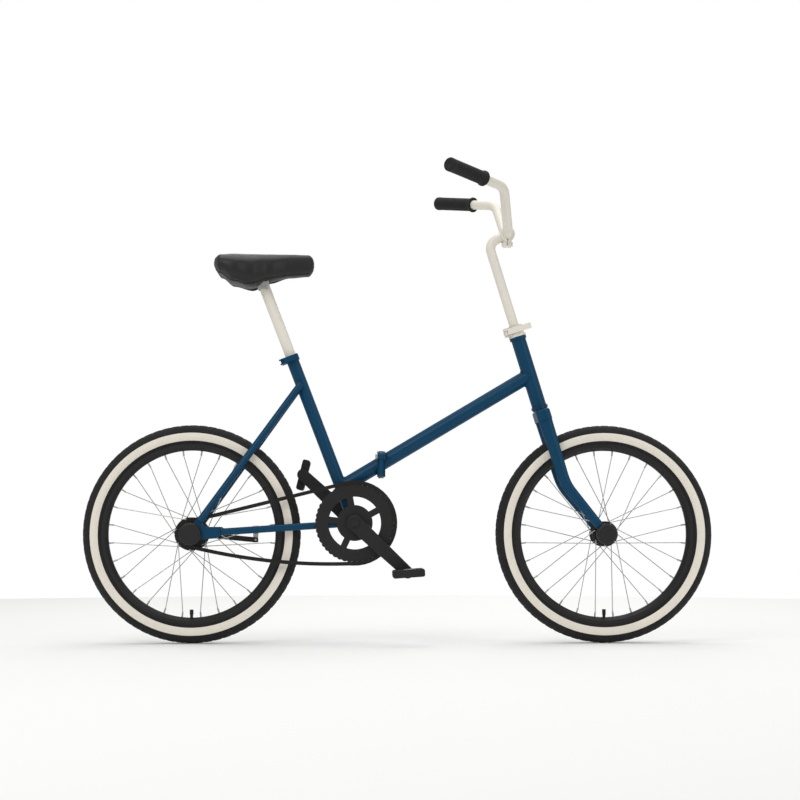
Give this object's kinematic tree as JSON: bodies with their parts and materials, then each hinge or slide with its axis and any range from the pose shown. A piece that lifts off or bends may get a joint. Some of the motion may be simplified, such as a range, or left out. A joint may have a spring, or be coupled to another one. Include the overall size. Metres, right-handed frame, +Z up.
{
  "type": "folding bicycle",
  "caption": "Step-through folding bicycle with a mid-frame hinge, small wheels, swept-back handlebar, chain drive and a coaster-brake rear hub.",
  "frame": {"origin": "on the ground, midway between the wheels in all directions", "axes": "+X forward along the wheelbase, +Y to the rider's left, +Z up"},
  "size_m": [1.448, 0.581, 1.0758],
  "materials": {
    "frame_paint": "gloss",
    "cream_paint": "gloss",
    "dark_paint": "satin",
    "tyre_rubber": "matte",
    "tube_rubber": "matte",
    "grip_rubber": "matte",
    "dark_plastic": "matte",
    "saddle_cover": "satin",
    "chain_steel": "oiled",
    "steel": "satin",
    "hub_alloy": "satin"
  },
  "bodies": {
    "rear_frame": {"seat_tube": "frame_paint", "bottom_bracket_shell": "frame_paint", "rear_main_tube": "frame_paint", "chain_stays": "frame_paint", "seat_stays": "frame_paint", "rear_dropouts": "frame_paint", "stay_bridges": "frame_paint", "rear_hinge_plate": "frame_paint", "hinge_pin": "steel", "fold_lock_bolt": "steel", "bottom_bracket_bearings": "steel", "rear_axle": "steel", "rear_axle_caps": "dark_plastic", "rear_hub_bearings": "steel", "brake_arm": "dark_paint", "brake_arm_clip": "steel", "chain_inner_links": "chain_steel", "chain_outer_links": "chain_steel", "seat_clamp": "frame_paint"},
    "front_frame": {"front_hinge_plate": "frame_paint", "front_main_tube": "frame_paint", "head_tube": "frame_paint", "headset_bearings": "cream_paint"},
    "fold_lock": {"fold_lock_lever": "frame_paint"},
    "fork": {"fork_steerer": "steel", "fork_crown": "frame_paint", "fork_blades": "frame_paint", "headset_locknut": "cream_paint", "front_axle": "steel", "front_axle_caps": "dark_plastic", "front_hub_bearings": "steel", "post_clamp": "cream_paint"},
    "post_lever": {"post_clamp_lever": "cream_paint"},
    "handlepost": {"handlepost": "cream_paint"},
    "handlebar": {"handlebar": "cream_paint", "handlebar_grips": "grip_rubber"},
    "front_wheel": {"front_tyre": "tyre_rubber", "front_rim": "dark_paint", "front_spokes": "steel", "front_hub": "hub_alloy", "front_inner_tube": "tube_rubber"},
    "rear_wheel": {"rear_tyre": "tyre_rubber", "rear_rim": "dark_paint", "rear_spokes": "steel", "rear_hub": "hub_alloy", "rear_inner_tube": "tube_rubber"},
    "sprocket": {"sprocket": "dark_paint"},
    "crankset": {"bottom_bracket_spindle": "steel", "chainring": "dark_paint", "crank_arms": "dark_paint", "crank_bolts": "steel", "pedal_axles": "steel"},
    "pedal_left": {"pedal_left": "dark_plastic"},
    "pedal_right": {"pedal_right": "dark_plastic"},
    "seat_post": {"seatpost": "cream_paint"},
    "saddle": {"saddle_pad": "saddle_cover", "saddle_base": "dark_plastic", "saddle_rails": "steel", "saddle_clamp": "steel"},
    "seat_lever": {"seat_clamp_lever": "frame_paint"}
  },
  "joints": [
    {"name": "frame_fold", "type": "hinge", "parent": "rear_frame", "child": "front_frame", "pos_m": [-0.0394, 0.029, 0.41], "axis": [0, 0, 1], "range_deg": [0, 165]},
    {"name": "fold_lock_turn", "type": "hinge", "parent": "rear_frame", "child": "fold_lock", "pos_m": [-0.0394, -0.032, 0.428], "axis": [-1, 0, 0], "range_deg": [0, 150]},
    {"name": "steering", "type": "hinge", "parent": "front_frame", "child": "fork", "pos_m": [0.2789, 0, 0.6993], "axis": [-0.294, 0, 0.9558], "continuous": true},
    {"name": "front_wheel_spin", "type": "hinge", "parent": "fork", "child": "front_wheel", "pos_m": [0.474, 0, 0.25], "axis": [0, 1, 0], "continuous": true},
    {"name": "handlepost_slide", "type": "slide", "parent": "fork", "child": "handlepost", "axis": [-0.294, 0, 0.9558], "range_m": [-0.06, 0.05]},
    {"name": "post_lever_swing", "type": "hinge", "parent": "fork", "child": "post_lever", "pos_m": [0.25057, -0.0173, 0.71486], "axis": [0.294, 0, -0.9558], "range_deg": [0, 150]},
    {"name": "handlebar_tilt", "type": "hinge", "parent": "handlepost", "child": "handlebar", "pos_m": [0.253, 0, 0.944], "axis": [0, 1, 0], "range_deg": [-20, 20]},
    {"name": "crank_spin", "type": "hinge", "parent": "rear_frame", "child": "crankset", "pos_m": [-0.1005, 0, 0.275], "axis": [0, 1, 0], "continuous": true},
    {"name": "pedal_left_spin", "type": "hinge", "parent": "crankset", "child": "pedal_left", "pos_m": [-0.22117, 0, 0.38753], "axis": [0, 1, 0], "continuous": true},
    {"name": "pedal_right_spin", "type": "hinge", "parent": "crankset", "child": "pedal_right", "pos_m": [0.02017, 0, 0.16247], "axis": [0, 1, 0], "continuous": true},
    {"name": "sprocket_spin", "type": "hinge", "parent": "rear_frame", "child": "sprocket", "pos_m": [-0.474, 0, 0.25], "axis": [0, 1, 0], "continuous": true},
    {"name": "rear_wheel_spin", "type": "hinge", "parent": "rear_frame", "child": "rear_wheel", "pos_m": [-0.474, 0, 0.25], "axis": [0, 1, 0], "continuous": true},
    {"name": "seatpost_slide", "type": "slide", "parent": "rear_frame", "child": "seat_post", "axis": [0.3584, 0, -0.9336], "range_m": [-0.06, 0.12]},
    {"name": "seat_lever_swing", "type": "hinge", "parent": "rear_frame", "child": "seat_lever", "pos_m": [-0.26607, -0.0173, 0.64633], "axis": [0.3584, 0, -0.9336], "range_deg": [0, 150]},
    {"name": "saddle_tilt", "type": "hinge", "parent": "seat_post", "child": "saddle", "pos_m": [-0.31158, 0, 0.82488], "axis": [0, 1, 0], "range_deg": [-15, 15]}
  ],
  "couplings": [
    {"joint": "sprocket_spin", "follows": "crank_spin", "ratio": 3.2857}
  ]
}
